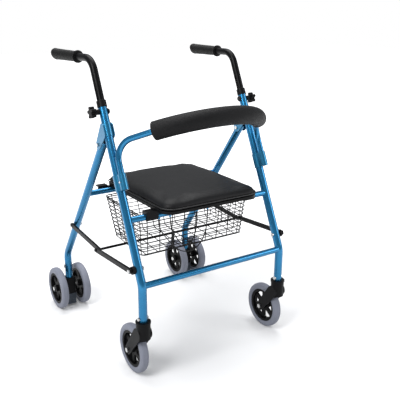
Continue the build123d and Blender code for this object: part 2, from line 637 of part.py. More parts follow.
with BuildPart() as seat_cushion:
    with BuildSketch(Plane.XY.offset(CUSHION_Z)):
        with Locations((0, seat_mid_y)):
            RectangleRounded(2 * SEAT_HALF_X, seat_depth, SEAT_CORNER_R)
    extrude(amount=CUSHION_EDGE_Z - CUSHION_Z)
    with BuildSketch(Plane.XY.offset(CUSHION_EDGE_Z)):
        with Locations((0, seat_mid_y)):
            RectangleRounded(2 * SEAT_HALF_X, seat_depth, SEAT_CORNER_R)
    with BuildSketch(Plane.XY.offset(CUSHION_TOP_Z)):
        with Locations((0, seat_mid_y)):
            RectangleRounded(2 * SEAT_HALF_X - 120, seat_depth - 120, SEAT_CORNER_R)
    loft()
keep(seat_cushion, "seat_cushion")

# Each hinge clip wraps the front seat tube from above and carries the board.
CLIP_X, CLIP_LENGTH, CLIP_R = 178.0, 40.0, 13.3
with BuildPart() as seat_hinge_clips:
    for side, name in SIDES:
        with BuildSketch(Plane.YZ.offset(side * CLIP_X - CLIP_LENGTH / 2)):
            with Locations((SEAT_BAR_Y, SEAT_BAR_Z)):
                Circle(CLIP_R)
            with Locations((SEAT_BAR_Y, (SEAT_BAR_Z + BOARD_Z) / 2)):
                Rectangle(2 * CLIP_R, BOARD_Z - SEAT_BAR_Z)
            with Locations((SEAT_BAR_Y, SEAT_BAR_Z)):
                Circle(BAR_R + 0.3, mode=Mode.SUBTRACT)
            with Locations((SEAT_BAR_Y, SEAT_BAR_Z - CLIP_R)):
                Rectangle(15, CLIP_R * 1.2, mode=Mode.SUBTRACT)
        extrude(amount=CLIP_LENGTH)
keep(seat_hinge_clips, "seat_hinge_clips")

# Each rear hook catches behind the rear seat tube; its tongue is pressed to let go.
HOOK_IN, HOOK_OUT = 150.0, 206.0
lip_front = REAR_BAR_Y + BAR_R + 0.6
with BuildPart() as seat_hooks:
    for side, name in SIDES:
        with Locations((side * (HOOK_IN + HOOK_OUT) / 2, lip_front + 4, (BOARD_Z + 473) / 2)):
            Box(HOOK_OUT - HOOK_IN, 8, BOARD_Z - 473)
        with Locations((side * (SEAT_HALF_X + HOOK_OUT) / 2 + side, lip_front + 12, BOARD_Z + 2)):
            Box(HOOK_OUT - SEAT_HALF_X - 2, 24, 4)
keep(seat_hooks, "seat_hooks")

# ------------------------------------------------------------ wire basket
FLOOR_HALF_X, TOP_HALF_X = 188.0, 198.0
FLOOR_FRONT_Y, FLOOR_REAR_Y = 116.0, 300.0
FLOOR_FRONT_Z, FLOOR_REAR_Z = 335.0, 347.0   # the wires that the floor hangs from
TOP_FRONT_Y, TOP_REAR_Y = 101.0, 342.0
ROWS, COLUMNS_ACROSS, COLUMNS_BACK = 10, 9, 5
FLOOR_DROP = 3.6                       # from those wires to the floor's upper layer
WELD = 2.4                             # between the middles of two wires welded crosswise
CORNER_STEP = 2 * WIRE_R + 0.2         # the side walls start this far inside the front and rear
RIM_WIRE_R = 2.0


def mixed(first, second, share):
    return first + (second - first) * share


def corner_at(side, front, top):
    """One of the basket's eight corners."""
    if top:
        return Vector(side * TOP_HALF_X, TOP_FRONT_Y if front else TOP_REAR_Y, BASKET_TOP_Z)
    if front:
        return Vector(side * FLOOR_HALF_X, FLOOR_FRONT_Y, FLOOR_FRONT_Z)
    return Vector(side * FLOOR_HALF_X, FLOOR_REAR_Y, FLOOR_REAR_Z)


def welded_wall(low_start, low_end, top_start, top_end, inwards, columns):
    """Level wires with upright ones welded inside them, in the part being built."""
    for row in range(ROWS + 1):
        share = row / ROWS
        radius = RIM_WIRE_R if row == ROWS else WIRE_R
        straight_rod(mixed(low_start, top_start, share), mixed(low_end, top_end, share), radius)
    for share in columns:
        low = mixed(low_start, low_end, share) + inwards * WELD
        high = mixed(top_start, top_end, share) + inwards * WELD
        straight_rod(low, high, WIRE_R)


def basket_hooks(wall_y, bar_y, bar_z):
    """Two wire hooks from the wall's top, up and over the seat tube."""
    reach = BAR_R + WIRE_R + 0.4
    beyond = bar_y + math.copysign(reach, bar_y - wall_y)
    for hook_x in HOOK_XS:
        foot = Vector(hook_x, wall_y, BASKET_TOP_Z - 14)
        with BuildLine() as hook_line:
            FilletPolyline(
                foot, Vector(hook_x, wall_y, bar_z + reach),
                Vector(hook_x, beyond, bar_z + reach), Vector(hook_x, beyond, bar_z - 8),
                radius=6,
            )
        with BuildSketch(Plane(foot, z_dir=(0, 0, 1))) as section:
            Circle(WIRE_R)
        sweep(section.sketch, path=hook_line.line)


between = [(column + 0.5) / COLUMNS_ACROSS for column in range(COLUMNS_ACROSS)]
with BuildPart() as basket_front:
    welded_wall(corner_at(-1, True, False), corner_at(1, True, False),
                corner_at(-1, True, True), corner_at(1, True, True), Vector(0, 1, 0), between)
    basket_hooks(TOP_FRONT_Y + WELD, SEAT_BAR_Y, SEAT_BAR_Z)
keep(basket_front, "basket_front")

with BuildPart() as basket_rear:
    welded_wall(corner_at(-1, False, False), corner_at(1, False, False),
                corner_at(-1, False, True), corner_at(1, False, True), Vector(0, -1, 0), between)
    basket_hooks(TOP_REAR_Y - WELD, REAR_BAR_Y, REAR_BAR_Z)
keep(basket_rear, "basket_rear")

for side, name in SIDES:
    step = Vector(0, CORNER_STEP + RIM_WIRE_R - WIRE_R, 0)
    with BuildPart() as basket_side:
        welded_wall(
            corner_at(side, True, False) + step, corner_at(side, False, False) - step,
            corner_at(side, True, True) + step, corner_at(side, False, True) - step,
            Vector(-side, 0, 0), [column / COLUMNS_BACK for column in range(COLUMNS_BACK + 1)],
        )
    keep(basket_side, f"basket_{name}")

with BuildPart() as basket_floor:
    for column in range(COLUMNS_ACROSS + 1):
        wire_x = mixed(-FLOOR_HALF_X, FLOOR_HALF_X, column / COLUMNS_ACROSS)
        straight_rod(Vector(wire_x, FLOOR_FRONT_Y, FLOOR_FRONT_Z - FLOOR_DROP - WELD),
                     Vector(wire_x, FLOOR_REAR_Y, FLOOR_REAR_Z - FLOOR_DROP - WELD), WIRE_R)
    for row in range(COLUMNS_BACK + 1):
        wire_y = mixed(FLOOR_FRONT_Y, FLOOR_REAR_Y, row / COLUMNS_BACK)
        wire_z = mixed(FLOOR_FRONT_Z, FLOOR_REAR_Z, row / COLUMNS_BACK) - FLOOR_DROP
        straight_rod(Vector(-FLOOR_HALF_X, wire_y, wire_z),
                     Vector(FLOOR_HALF_X, wire_y, wire_z), WIRE_R)
keep(basket_floor, "basket_floor")

# ------------------------------------------------------------ lift cords
# Two slack loops hang from the eyes under the front seat tube, one inside the other.
CORD_R = 1.6
cord_top = SEAT_BAR_Z - BAR_R - 5.0
LONG_ROUTE = ((-152, 0), (-151, -22), (-141, -44), (-124, -66), (-103, -92), (-80, -114),
              (-54, -124), (-27, -122), (-4, -108), (12, -82), (19, -54), (21.5, -26), (22, 0))
SHORT_ROUTE = ((-112, 0), (-111, -24), (-103, -48), (-89, -74), (-72, -94), (-52, -101),
               (-34, -92), (-23, -70), (-18, -44), (-16.5, -20), (-16, 0))


def hanging_cord(route, y, label):
    """A cord in the plane at y, as straight runs joined by the largest arcs that fit."""
    points = [Vector(x, y, cord_top + drop) for x, drop in route]
    radii = []
    for before, here, after in zip(points, points[1:], points[2:]):
        turn = math.radians((here - before).get_angle(after - here))
        run = min((here - before).length, (after - here).length)
        radii.append(0.45 * run / math.tan(turn / 2))
    print(label, "arc radii", [round(radius, 1) for radius in radii])
    with BuildPart() as cord:
        with BuildLine() as path:
            FilletPolyline(*points, radius=radii)
        with BuildSketch(Plane(path.line @ 0, z_dir=path.line % 0)):
            Circle(CORD_R)
        sweep(path=path.line)
    length = path.wires()[0].length
    share = cord.part.volume / (math.pi * CORD_R ** 2 * length)
    print(label, "length", round(length), "volume share", round(share, 3))
    keep(cord, label)


hanging_cord(LONG_ROUTE, SEAT_BAR_Y, "lift_cord_long")
hanging_cord(SHORT_ROUTE, SEAT_BAR_Y, "lift_cord_short")
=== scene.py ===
# %% [markdown]
# # A folding rollator, dressed for its picture
# The walker's frame was designed and packed elsewhere, with every tube, bolt and wheel in its
# true place. This lesson loads that frame and gives it its looks: metallic paint, moulded
# plastic, a stuffed vinyl seat, a foam backrest, rubber tyres and a welded wire basket.
# Everything is in metres, +Z is up and the walker rolls towards -Y.

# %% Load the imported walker
import math
import bmesh
import bpy
from mathutils import Matrix, Vector


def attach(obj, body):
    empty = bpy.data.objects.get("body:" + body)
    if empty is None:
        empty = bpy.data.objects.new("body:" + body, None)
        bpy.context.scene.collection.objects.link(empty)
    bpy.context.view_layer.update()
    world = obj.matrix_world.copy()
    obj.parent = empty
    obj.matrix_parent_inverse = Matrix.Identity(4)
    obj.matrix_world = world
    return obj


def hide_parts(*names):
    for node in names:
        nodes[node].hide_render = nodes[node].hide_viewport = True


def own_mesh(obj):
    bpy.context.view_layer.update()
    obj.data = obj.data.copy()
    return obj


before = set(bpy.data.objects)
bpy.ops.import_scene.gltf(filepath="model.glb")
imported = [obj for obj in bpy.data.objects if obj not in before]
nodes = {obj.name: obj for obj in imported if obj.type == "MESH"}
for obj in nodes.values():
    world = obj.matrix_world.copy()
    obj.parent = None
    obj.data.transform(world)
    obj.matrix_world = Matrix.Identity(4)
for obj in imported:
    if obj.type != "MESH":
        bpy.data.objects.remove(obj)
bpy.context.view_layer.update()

# %% [markdown]
# ## Where things are
# The drawing measured depth from the front legs' lower ends, in millimetres. One helper turns
# such a measure into this scene's metres, so each piece can be placed with the drawing's own
# numbers. The front legs lean back, and the backrest and handles are built square to them.

# %% Turn the drawing's millimetres into scene metres
FRONT_LINE = 289.46                      # millimetres from the front legs' line to the middle
LEG_X = 252.0                            # from the middle plane to a leg
AXLE_Y, WHEEL_RADIUS = 563.0, 75.0       # the rear wheels' axles
TWIN_OFFSET = 42.0                       # from a rear leg to each of its two wheels
CASTOR_TRAIL = 61.0                      # the castor axles' distance behind the front legs' line
LEAN = math.radians(24.5)
UP_LEG = Vector((0, math.sin(LEAN), math.cos(LEAN)))
AHEAD = Vector((0, -math.cos(LEAN), math.sin(LEAN)))


def mm(x, y, z):
    """A point of the drawing, as a point of the scene."""
    return Vector((x, y - FRONT_LINE, z)) / 1000


def leg_y(z):
    """The depth of a front leg's centre line at height z, in the drawing's millimetres."""
    return max(0.0, z - 300) * math.tan(LEAN)


# %% [markdown]
# ## Camera
# The walker is seen from in front and a little above, from its right-hand side. A normal lens
# keeps the near wheel from looking too large. A small shift frames it without turning the lens.

# %% Set the camera
camera_data = bpy.data.cameras.new("walker_camera")
camera = bpy.data.objects.new("walker_camera", camera_data)
bpy.context.collection.objects.link(camera)
camera.location = mm(-957.7, -1315.5, 1030)
looks_at = mm(0, 170, 500)
camera.rotation_euler = (looks_at - camera.location).to_track_quat("-Z", "Y").to_euler()
camera_data.lens = 52.7
camera_data.sensor_width = 36
camera_data.shift_x = 0.037
camera_data.shift_y = -0.027
bpy.context.scene.camera = camera
print("camera distance", round((looks_at - camera.location).length, 3))

# %% [markdown]
# ## The lift cords
# Two slack black cords hang in loops from small eyes under the front seat tube, one inside the
# other. Pulled up, they start the folding. A smooth curve through a few hanging points is how
# a limp cord falls, so each is one NURBS curve with a round section. The bevel is one unit, and
# each point's own radius gives the thickness, so the curve's bounding box fits the cord.

# %% Hang the two cords
CORD_RADIUS = 0.0016
cord_high = 471 - 9.5 - 5.0
long_drop = ((-152, 0), (-151, -22), (-141, -44), (-124, -66), (-103, -92), (-80, -114),
             (-54, -124), (-27, -122), (-4, -108), (12, -82), (19, -54), (21.5, -26), (22, 0))
short_drop = ((-112, 0), (-111, -24), (-103, -48), (-89, -74), (-72, -94), (-52, -101),
              (-34, -92), (-23, -70), (-18, -44), (-16.5, -20), (-16, 0))


def hang_cord(name, drops):
    """A limp cord hanging in the plane below the front seat tube."""
    curve = bpy.data.curves.new(name, "CURVE")
    curve.dimensions = "3D"
    curve.bevel_depth = 1.0
    curve.bevel_resolution = 4
    curve.resolution_u = 12
    spline = curve.splines.new("NURBS")
    spline.points.add(len(drops) - 1)
    for point, (x, drop) in zip(spline.points, drops):
        point.co = (*mm(x, leg_y(471), cord_high + drop), 1)
        point.radius = CORD_RADIUS
    spline.order_u = 3
    spline.use_endpoint_u = True
    piece = bpy.data.objects.new(name, curve)
    bpy.context.collection.objects.link(piece)
    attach(piece, "front_frame")
    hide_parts(name)
    return piece


cords = [hang_cord("lift_cord_long", long_drop), hang_cord("lift_cord_short", short_drop)]
for cord in cords:
    cord.name = cord.name + "_smooth"
print("cords", [cord.name for cord in cords])

# %% [markdown]
# ## Light and floor
# A pale floor and broad soft lights give the calm look of a shop picture, and long soft
# reflections that show the tubes are round. The lights are large areas, so shadows stay soft.

# %% Floor, sky and lights
floor_mesh = bpy.data.meshes.new("floor")
floor_shape = bmesh.new()
bmesh.ops.create_grid(floor_shape, x_segments=1, y_segments=1, size=14)
floor_shape.to_mesh(floor_mesh)
floor_shape.free()
floor = bpy.data.objects.new("floor", floor_mesh)
bpy.context.collection.objects.link(floor)

world = bpy.data.worlds.new("studio")
world.use_nodes = True
sky = world.node_tree.nodes["Background"]
sky.inputs["Color"].default_value = (0.93, 0.96, 1, 1)
sky.inputs["Strength"].default_value = 0.42
backdrop = world.node_tree.nodes.new("ShaderNodeBackground")
backdrop.inputs["Color"].default_value = (1, 1, 1, 1)
backdrop.inputs["Strength"].default_value = 1.0
seen = world.node_tree.nodes.new("ShaderNodeLightPath")
chosen = world.node_tree.nodes.new("ShaderNodeMixShader")
world.node_tree.links.new(seen.outputs["Is Camera Ray"], chosen.inputs["Fac"])
world.node_tree.links.new(sky.outputs["Background"], chosen.inputs[1])
world.node_tree.links.new(backdrop.outputs["Background"], chosen.inputs[2])
world_output = world.node_tree.nodes["World Output"]
world.node_tree.links.new(chosen.outputs["Shader"], world_output.inputs["Surface"])
bpy.context.scene.world = world
bpy.context.scene.view_settings.view_transform = "Standard"


def soft_light(name, place, aim, size, power):
    """A large square lamp at place, pointed at aim."""
    lamp = bpy.data.lights.new(name, "AREA")
    lamp.size = size
    lamp.energy = power
    light = bpy.data.objects.new(name, lamp)
    bpy.context.collection.objects.link(light)
    light.location = place
    light.rotation_euler = (Vector(aim) - Vector(place)).to_track_quat("-Z", "Y").to_euler()
    return light


soft_light("key", (-2.4, -0.9, 2.9), (0, 0, 0.4), 1.5, 120)
soft_light("fill", (2.6, -2.4, 1.9), (0, 0, 0.5), 1.6, 45)
soft_light("top", (0.3, 0.8, 3.4), (0, 0, 0.2), 2.6, 120)

# %% [markdown]
# ## Shared effects
# Paint, plastic, rubber and cloth all carry a fine grain and slow, cloudy changes of tone. Two
# node groups make these once: *surface grain* gives a height and a cloud mask from noise, and
# *cell grain* gives the pebbled skin of vinyl and the pores of foam. Each material mixes them
# with its own scale and strength.

# %% Build the surface grain group
def new_group(name, inputs, outputs):
    """An empty shader node group with number inputs and outputs."""
    group = bpy.data.node_groups.new(name, "ShaderNodeTree")
    for label, value in inputs:
        socket = group.interface.new_socket(label, in_out="INPUT", socket_type="NodeSocketFloat")
        socket.default_value = value
    for label in outputs:
        group.interface.new_socket(label, in_out="OUTPUT", socket_type="NodeSocketFloat")
    return group, group.nodes.new("NodeGroupInput"), group.nodes.new("NodeGroupOutput")


surface_grain, given, made = new_group(
    "surface grain", (("Grain scale", 900.0), ("Cloud scale", 9.0)), ("Height", "Cloud"))
where = surface_grain.nodes.new("ShaderNodeTexCoord")
fine = surface_grain.nodes.new("ShaderNodeTexNoise")
fine.inputs["Detail"].default_value = 3
cloud = surface_grain.nodes.new("ShaderNodeTexNoise")
cloud.inputs["Detail"].default_value = 4
cloud.inputs["Roughness"].default_value = 0.6
links = surface_grain.links
links.new(where.outputs["Object"], fine.inputs["Vector"])
links.new(where.outputs["Object"], cloud.inputs["Vector"])
links.new(given.outputs["Grain scale"], fine.inputs["Scale"])
links.new(given.outputs["Cloud scale"], cloud.inputs["Scale"])
links.new(fine.outputs["Fac"], made.inputs["Height"])
links.new(cloud.outputs["Fac"], made.inputs["Cloud"])
print("group", surface_grain.name)

# %% Build the cell grain group
cell_grain, given, made = new_group("cell grain", (("Cell scale", 500.0), ("Warp", 0.4)), ("Height",))
where = cell_grain.nodes.new("ShaderNodeTexCoord")
warp = cell_grain.nodes.new("ShaderNodeTexNoise")
warp.inputs["Scale"].default_value = 160
bend = cell_grain.nodes.new("ShaderNodeVectorMath")
bend.operation = "MULTIPLY_ADD"
bend.inputs[1].default_value = (0.0018, 0.0018, 0.0018)
cells = cell_grain.nodes.new("ShaderNodeTexVoronoi")
cells.feature = "DISTANCE_TO_EDGE"
crease = cell_grain.nodes.new("ShaderNodeMapRange")
crease.inputs["From Max"].default_value = 0.12
links = cell_grain.links
links.new(where.outputs["Object"], warp.inputs["Vector"])
links.new(warp.outputs["Color"], bend.inputs[0])
links.new(where.outputs["Object"], bend.inputs[2])
links.new(bend.outputs["Vector"], cells.inputs["Vector"])
links.new(given.outputs["Cell scale"], cells.inputs["Scale"])
links.new(cells.outputs["Distance"], crease.inputs["Value"])
links.new(crease.outputs["Result"], made.inputs["Height"])
print("group", cell_grain.name)

# %% [markdown]
# ## Finishes
# Every finish here is one Principled shader. Two close colours are mixed by the cloud mask, the
# roughness drifts with it, and the grain feeds a Bump. The numbers that stay the same all over,
# such as how metallic a paint is, sit on the shader's own sockets.

# %% A helper for one finish
def finish(name, dark, light, rough, grain=900.0, bump=0.05, depth=0.0002, metallic=0.0,
           coat=0.0, clouds=9.0, cells=None, sheen=0.0, mirror=0.5):
    """A material whose tone and roughness drift and whose surface has a fine grain."""
    material = bpy.data.materials.new(name)
    material.use_nodes = True
    tree = material.node_tree
    skin = tree.nodes["Principled BSDF"]
    skin.inputs["Metallic"].default_value = metallic
    skin.inputs["Specular IOR Level"].default_value = mirror
    skin.inputs["Coat Weight"].default_value = coat
    skin.inputs["Coat Roughness"].default_value = 0.08
    skin.inputs["Sheen Weight"].default_value = sheen
    drift = tree.nodes.new("ShaderNodeGroup")
    drift.node_tree = surface_grain
    drift.inputs["Grain scale"].default_value = grain
    drift.inputs["Cloud scale"].default_value = clouds
    tone = tree.nodes.new("ShaderNodeMix")
    tone.data_type = "RGBA"
    tone.inputs[6].default_value = (*dark, 1)
    tone.inputs[7].default_value = (*light, 1)
    gloss = tree.nodes.new("ShaderNodeMapRange")
    gloss.inputs["From Min"].default_value = 0.3
    gloss.inputs["From Max"].default_value = 0.7
    gloss.inputs["To Min"].default_value = rough[0]
    gloss.inputs["To Max"].default_value = rough[1]
    relief = tree.nodes.new("ShaderNodeBump")
    relief.inputs["Strength"].default_value = bump
    relief.inputs["Distance"].default_value = depth
    tree.links.new(drift.outputs["Cloud"], tone.inputs[0])
    tree.links.new(drift.outputs["Cloud"], gloss.inputs["Value"])
    tree.links.new(tone.outputs[2], skin.inputs["Base Color"])
    tree.links.new(gloss.outputs["Result"], skin.inputs["Roughness"])
    if cells:
        pebbles = tree.nodes.new("ShaderNodeGroup")
        pebbles.node_tree = cell_grain
        pebbles.inputs["Cell scale"].default_value = cells
        tree.links.new(pebbles.outputs["Height"], relief.inputs["Height"])
    else:
        tree.links.new(drift.outputs["Height"], relief.inputs["Height"])
    tree.links.new(relief.outputs["Normal"], skin.inputs["Normal"])
    return material


# %% Mix the walker's finishes
blue_paint = finish("metallic blue paint", (0.008, 0.115, 0.25), (0.018, 0.185, 0.37), (0.24, 0.32),
                    grain=2600, bump=0.015, metallic=0.85, coat=0.3)
dark_blue_paint = finish("bracket blue paint", (0.008, 0.12, 0.24), (0.018, 0.18, 0.33), (0.26, 0.36),
                         grain=2200, bump=0.02, metallic=0.75, coat=0.3)
black_paint = finish("black enamel", (0.0015, 0.0015, 0.0017), (0.003, 0.003, 0.0034), (0.28, 0.4),
                     grain=1500, bump=0.03, mirror=0.09)
zinc = finish("zinc plate", (0.48, 0.48, 0.48), (0.66, 0.66, 0.65), (0.22, 0.38),
              grain=1400, bump=0.06, metallic=1.0, clouds=60)
black_steel = finish("blackened steel", (0.006, 0.006, 0.007), (0.014, 0.014, 0.015), (0.3, 0.45),
                     grain=1400, bump=0.06, metallic=0.4, clouds=60, mirror=0.3)
spring_steel = finish("spring steel", (0.35, 0.35, 0.37), (0.5, 0.5, 0.52), (0.25, 0.35), metallic=1.0)
moulded = finish("moulded black plastic", (0.0015, 0.0015, 0.0018), (0.004, 0.004, 0.0045), (0.38, 0.5),
                 grain=1800, bump=0.1, depth=0.0003, mirror=0.1)
hub_black = finish("hub plastic", (0.0015, 0.0015, 0.0018), (0.004, 0.004, 0.0045), (0.42, 0.54),
                   grain=1500, bump=0.1, depth=0.0003, mirror=0.1)
tyre_grey = finish("grey tyre rubber", (0.13, 0.14, 0.175), (0.19, 0.20, 0.245), (0.5, 0.68),
                   grain=1100, bump=0.3, depth=0.0004, clouds=26, mirror=0.4)
grip_rubber = finish("grip rubber", (0.002, 0.002, 0.002), (0.005, 0.005, 0.005), (0.45, 0.58),
                     grain=1500, bump=0.2, depth=0.0003, mirror=0.15)
foot_rubber = finish("brake foot rubber", (0.04, 0.05, 0.065), (0.075, 0.09, 0.11), (0.6, 0.8),
                     grain=1200, bump=0.3, depth=0.0004, mirror=0.3)
vinyl = finish("seat vinyl", (0.004, 0.004, 0.0045), (0.007, 0.007, 0.0075), (0.42, 0.52),
               bump=0.12, depth=0.0003, cells=520, clouds=7, mirror=0.13)
piping_vinyl = finish("piping vinyl", (0.004, 0.004, 0.0045), (0.008, 0.008, 0.0085), (0.35, 0.45),
                      bump=0.1, depth=0.0003, cells=700, mirror=0.22)
foam = finish("backrest foam", (0.002, 0.002, 0.0025), (0.005, 0.005, 0.0055), (0.52, 0.66),
              bump=0.3, depth=0.0005, cells=900, clouds=14, mirror=0.14)
wire_coat = finish("basket coating", (0.002, 0.002, 0.002), (0.005, 0.005, 0.0055), (0.35, 0.5),
                   grain=1200, bump=0.1, mirror=0.15)
cord_braid = finish("cord braid", (0.004, 0.004, 0.004), (0.012, 0.012, 0.012), (0.75, 0.9),
                    bump=0.6, depth=0.0005, cells=1500, sheen=0.1, mirror=0.2)
floor_paint = finish("pale floor", (0.66, 0.66, 0.665), (0.69, 0.69, 0.695), (0.8, 0.9), grain=60,
                     bump=0.01, clouds=1.5, mirror=0.1)
floor.data.materials.append(floor_paint)
for cord in cords:
    cord.data.materials.append(cord_braid)

# %% [markdown]
# A real studio floor curves up into a bright wall behind the subject. Here the floor glows more
# the further it is from the walker, so it fades into the white backdrop without a horizon,
# while close to the wheels it stays dim enough to show their soft shadows.

# %% Fade the floor into the backdrop
floor_tree = floor_paint.node_tree
floor_place = floor_tree.nodes.new("ShaderNodeTexCoord")
distance = floor_tree.nodes.new("ShaderNodeVectorMath")
distance.operation = "LENGTH"
fade = floor_tree.nodes.new("ShaderNodeMapRange")
fade.interpolation_type = "SMOOTHSTEP"
fade.inputs["From Min"].default_value = 0.5
fade.inputs["From Max"].default_value = 2.2
fade.inputs["To Min"].default_value = 0.10
fade.inputs["To Max"].default_value = 1.0
floor_skin = floor_tree.nodes["Principled BSDF"]
floor_skin.inputs["Emission Color"].default_value = (1, 1, 1, 1)
floor_tree.links.new(floor_place.outputs["Object"], distance.inputs[0])
floor_tree.links.new(distance.outputs["Value"], fade.inputs["Value"])
floor_tree.links.new(fade.outputs["Result"], floor_skin.inputs["Emission Strength"])

# %% [markdown]
# ## Painting the frame
# The tubes, bolts and moulded housings already have their true shapes, so they only need their
# finish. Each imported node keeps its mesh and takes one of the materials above.

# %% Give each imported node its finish
node_finish = {
    blue_paint: ("front_leg_left", "front_leg_right", "lower_crossbar", "seat_crossbar",
                 "rear_leg_left", "rear_leg_right", "rear_crossbar", "backrest_tube"),
    dark_blue_paint: ("pivot_brackets", "backrest_sockets"),
    black_paint: ("brace_front_links", "brace_rear_links", "brace_rod", "handle_tube_left",
                  "handle_tube_right"),
    zinc: ("castor_stems", "front_frame_bolts", "rear_frame_bolts", "castor_axle_left",
           "castor_axle_right", "rear_axle_left", "rear_axle_right", "snap_button_left",
           "snap_button_right"),
    black_steel: ("height_bolts",),
    moulded: ("handle_collars", "brace_spacers", "castor_fork_left", "castor_fork_right",
              "axle_housings", "seat_hinge_clips", "seat_hooks", "star_knob_left",
              "star_knob_right", "seat_board"),
    hub_black: tuple(f"{place}_hub" for place in (
        "front_left", "front_right", "rear_left_inner", "rear_left_outer",
        "rear_right_inner", "rear_right_outer")),
    foot_rubber: ("brake_feet",),
}
for material, names in node_finish.items():
    for name in names:
        node = nodes[name]
        node.data.materials.clear()
        node.data.materials.append(material)
print("painted nodes", sum(len(names) for names in node_finish.values()))

# %% [markdown]
# ## Helpers for new pieces
# Three ways of making a shape come back often. A *turned* piece is a short outline spun about a
# line, like wood on a lathe. A *bent wire* is a smooth curve with a round section, made into a
# mesh. And every new piece is settled the same way: smooth faces, a material, a body to ride on
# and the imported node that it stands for.

# %% Settle a new piece
def settle(name, mesh, material, body, replaced=(), crease=32):
    """Link a finished mesh as a piece of the walker."""
    mesh.shade_smooth()
    mesh.set_sharp_from_angle(angle=math.radians(crease))
    mesh.materials.clear()
    mesh.materials.append(material)
    piece = bpy.data.objects.new(name, mesh)
    bpy.context.collection.objects.link(piece)
    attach(piece, body)
    if replaced:
        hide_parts(*replaced)
    return piece


# %% Turn an outline on a lathe
def turned(name, outline, place, direction, steps=64):
    """Spin an outline of (along, radius) pairs, in metres, about direction through place."""
    shape = bmesh.new()
    points = [shape.verts.new((radius, 0, along)) for along, radius in outline]
    chain = [shape.edges.new(pair) for pair in zip(points, points[1:])]
    bmesh.ops.spin(shape, geom=points + chain, cent=(0, 0, 0), axis=(0, 0, 1),
                   angle=2 * math.pi, steps=steps, use_merge=True)
    bmesh.ops.remove_doubles(shape, verts=shape.verts, dist=1e-6)
    turn = Vector(direction).to_track_quat("Z", "Y").to_matrix().to_4x4()
    bmesh.ops.transform(shape, matrix=Matrix.Translation(place) @ turn, verts=shape.verts)
    bmesh.ops.recalc_face_normals(shape, faces=shape.faces)
    mesh = bpy.data.meshes.new(name)
    shape.to_mesh(mesh)
    shape.free()
    return mesh


# %% Bend wires with round corners
ARC_PULL = 0.5523                        # handle length that makes a Bezier corner round


def bent_wires(name, routes, wire_radius, corner, closed=False):
    """Join several wires, each through its own points, in one mesh."""
    curve = bpy.data.curves.new(name, "CURVE")
    curve.dimensions = "3D"
    curve.bevel_depth = wire_radius
    curve.bevel_resolution = 2
    curve.resolution_u = 5
    curve.use_fill_caps = True
    for route in routes:
        count = len(route)
        stations = []
        for index, here in enumerate(route):
            if not closed and index in (0, count - 1):
                beside = route[1] if index == 0 else route[-2]
                pull = (beside - here).normalized() * corner
                stations.append((here, here, here + pull) if index == 0 else (here + pull, here, here))
                continue
            back = (route[index - 1] - here).normalized() * corner
            onward = (route[(index + 1) % count] - here).normalized() * corner
            slack = 1 - ARC_PULL
            stations.append((here + back * 1.2, here + back, here + back * slack))
            stations.append((here + onward * slack, here + onward, here + onward * 1.2))
        spline = curve.splines.new("BEZIER")
        spline.bezier_points.add(len(stations) - 1)
        for knot, (before, at, after) in zip(spline.bezier_points, stations):
            knot.handle_left_type = "FREE"
            knot.handle_right_type = "FREE"
            knot.handle_left, knot.co, knot.handle_right = before, at, after
        spline.use_cyclic_u = closed
    drawn = bpy.data.objects.new(name, curve)
    bpy.context.collection.objects.link(drawn)
    mesh = bpy.data.meshes.new_from_object(drawn.evaluated_get(bpy.context.evaluated_depsgraph_get()))
    bpy.data.objects.remove(drawn)
    bpy.data.curves.remove(curve)
    mesh.name = name
    return mesh


# % [markdown]
# ## Brake springs
# One spring in each rear housing is pressed shorter as its axle slides up. Each side squashes
# with its own brake, so the imported pair of springs is split in two at the middle plane.

# % Split the springs at the middle plane
for side, hand in ((1, "left"), (-1, "right")):
    shape = bmesh.new()
    shape.from_mesh(nodes["brake_springs"].data)
    other = [vert for vert in shape.verts if vert.co.x * side < 0]
    bmesh.ops.delete(shape, geom=other, context="VERTS")
    mesh = bpy.data.meshes.new(f"brake_spring_{hand}")
    shape.to_mesh(mesh)
    shape.free()
    spring = settle(f"brake_spring_{hand}", mesh, spring_steel, "rear_frame",
                    ["brake_springs"] if side > 0 else [], crease=60)
    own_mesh(spring)
print("brake springs 2")

# % [markdown]
# ## Tyres
# Each wheel wears a solid grey rubber tyre with a rounded tread, shallow grooves along it and a
# lip that holds the hub's rim. A tyre is the plainest lathe job: half of its section, spun once.

# %% Spin the six tyres
TYRE_SECTION = ((-10.6, 56.2), (-11.8, 57.4), (-12.6, 60.5), (-12.9, 64.5), (-12.3, 68.8),
                (-10.6, 71.9), (-8.2, 73.8), (-5.9, 74.6), (-5.3, 74.1), (-4.7, 74.1),
                (-4.1, 74.8), (0, 75.0), (4.1, 74.8), (4.7, 74.1), (5.3, 74.1), (5.9, 74.6),
                (8.2, 73.8), (10.6, 71.9), (12.3, 68.8), (12.9, 64.5), (12.6, 60.5),
                (11.8, 57.4), (10.6, 56.2), (-10.6, 56.2))
tyre_outline = [(along / 1000, radius / 1000) for along, radius in TYRE_SECTION]
wheels = {}
for side, hand in ((1, "left"), (-1, "right")):
    wheels[f"front_{hand}"] = (side * LEG_X, CASTOR_TRAIL, f"front_wheel_{hand}")
    for pair, offset in (("outer", TWIN_OFFSET), ("inner", -TWIN_OFFSET)):
        wheels[f"rear_{hand}_{pair}"] = (side * (LEG_X + offset), AXLE_Y, f"rear_wheel_{hand}_{pair}")
for name, (x, y, body) in wheels.items():
    mesh = turned(f"{name}_rubber", tyre_outline, mm(x, y, WHEEL_RADIUS), (1, 0, 0), steps=96)
    settle(f"{name}_rubber", mesh, tyre_grey, body, [f"{name}_tyre"])
print("tyres", len(wheels))

# %% [markdown]
# ## Grips
# The grips are soft black rubber pushed onto the tubes. They have a collar at the front that
# stops the hand, a slightly barrelled body with rings of grooves, and a closed end that leans
# a little, so that its top reaches further back than its underside.

